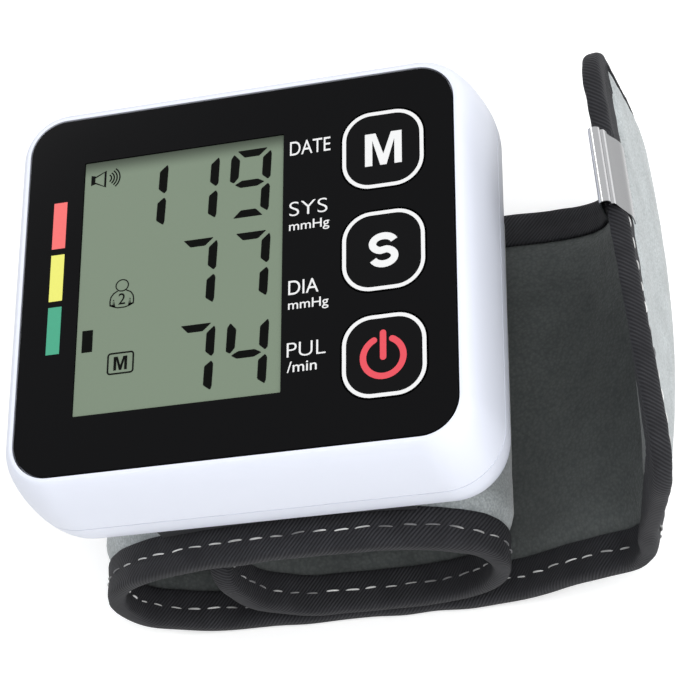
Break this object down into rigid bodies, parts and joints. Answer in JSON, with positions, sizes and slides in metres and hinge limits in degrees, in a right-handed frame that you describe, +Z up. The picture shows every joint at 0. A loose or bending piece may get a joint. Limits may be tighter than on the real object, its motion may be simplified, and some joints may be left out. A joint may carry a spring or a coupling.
{
  "type": "wrist blood pressure monitor",
  "caption": "Rounded rectangular monitor with display and key column on a curled fabric wrist cuff whose tail stands up beside the case.",
  "frame": {"origin": "on the flat underside of the cuff, below the centre of the display panel", "axes": "+X to the right of the display and towards the cuff's tail, +Y to the top of the display, +Z up out of the display"},
  "size_m": [0.1088, 0.0763, 0.0666],
  "materials": {
    "white_case": "semi-gloss moulded white with a faint blue cast",
    "panel_black": "smooth glossy black panel",
    "key_black": "satin black key",
    "lcd_glass": "grey-green display glass",
    "inner_white": "plain white moulding",
    "dark_plastic": "fine matte black",
    "soft_rubber": "soft grey rubber",
    "board_green": "green board laminate",
    "steel": "plated steel",
    "clip_steel": "bright plated sheet metal",
    "contact_brass": "plain strip",
    "cell_sleeve": "plain printed sleeve, no marks",
    "outer_cloth": "light grey looped fleece",
    "lining_cloth": "dark grey brushed lining",
    "edge_tape": "black ribbed binding tape",
    "foam": "thin open foam",
    "bladder_skin": "welded air bladder film",
    "stay_plastic": "springy curled sheet"
  },
  "bodies": {
    "monitor_and_cuff": {"front_shell": "white_case", "rear_shell": "white_case", "display_panel": "panel_black", "lcd_glass": "lcd_glass", "lcd_holder": "inner_white", "lcd_contact_strip": "soft_rubber", "circuit_board": "board_green", "keypad_mat": "soft_rubber", "buzzer": "dark_plastic", "battery_cell_outer": "cell_sleeve", "battery_cell_inner": "cell_sleeve", "battery_bridge": "contact_brass", "battery_terminal_outer": "contact_brass", "battery_terminal_inner": "contact_brass", "battery_tray": "dark_plastic", "pump_motor": "steel", "pump_head": "dark_plastic", "air_block": "inner_white", "exhaust_valve": "steel", "pressure_sensor": "dark_plastic", "air_hose": "inner_white", "case_screw_1": "steel", "case_screw_2": "steel", "case_screw_3": "steel", "case_screw_4": "steel", "cuff_mount_plate": "dark_plastic", "air_nipple": "inner_white", "cuff_outer_cloth": "outer_cloth", "cuff_lining": "lining_cloth", "cuff_stay": "stay_plastic", "air_bladder": "bladder_skin", "flap_foam": "foam", "floor_foam": "foam", "edge_tape_near": "edge_tape", "edge_tape_far": "edge_tape", "flap_end_tape": "edge_tape"},
    "memory_key": {"key_memory": "key_black"},
    "set_key": {"key_set": "key_black"},
    "power_key": {"key_power": "key_black"},
    "battery_cover": {"battery_door": "white_case"},
    "strap_tail": {"tail_outer_cloth": "outer_cloth", "tail_lining": "lining_cloth", "tail_foam": "foam", "tail_edge_tape": "edge_tape", "tail_end_clip": "clip_steel"}
  },
  "joints": [
    {"name": "memory_press", "type": "slide", "parent": "monitor_and_cuff", "child": "memory_key", "axis": [0, 0, -1], "range_m": [0, 0.0006], "stiffness_N_per_m": 900},
    {"name": "set_press", "type": "slide", "parent": "monitor_and_cuff", "child": "set_key", "axis": [0, 0, -1], "range_m": [0, 0.0006], "stiffness_N_per_m": 900},
    {"name": "power_press", "type": "slide", "parent": "monitor_and_cuff", "child": "power_key", "axis": [0, 0, -1], "range_m": [0, 0.0006], "stiffness_N_per_m": 900},
    {"name": "battery_cover_hinge", "type": "hinge", "parent": "monitor_and_cuff", "child": "battery_cover", "pos_m": [-0.0393, 0, 0.0436], "axis": [0, -1, 0], "range_deg": [0, 80]},
    {"name": "tail_fold", "type": "hinge", "parent": "monitor_and_cuff", "child": "strap_tail", "pos_m": [0.04918, -0.00145, 0.00817], "axis": [0.0438, 0.9942, -0.0981], "range_deg": [-8, 50]}
  ]
}
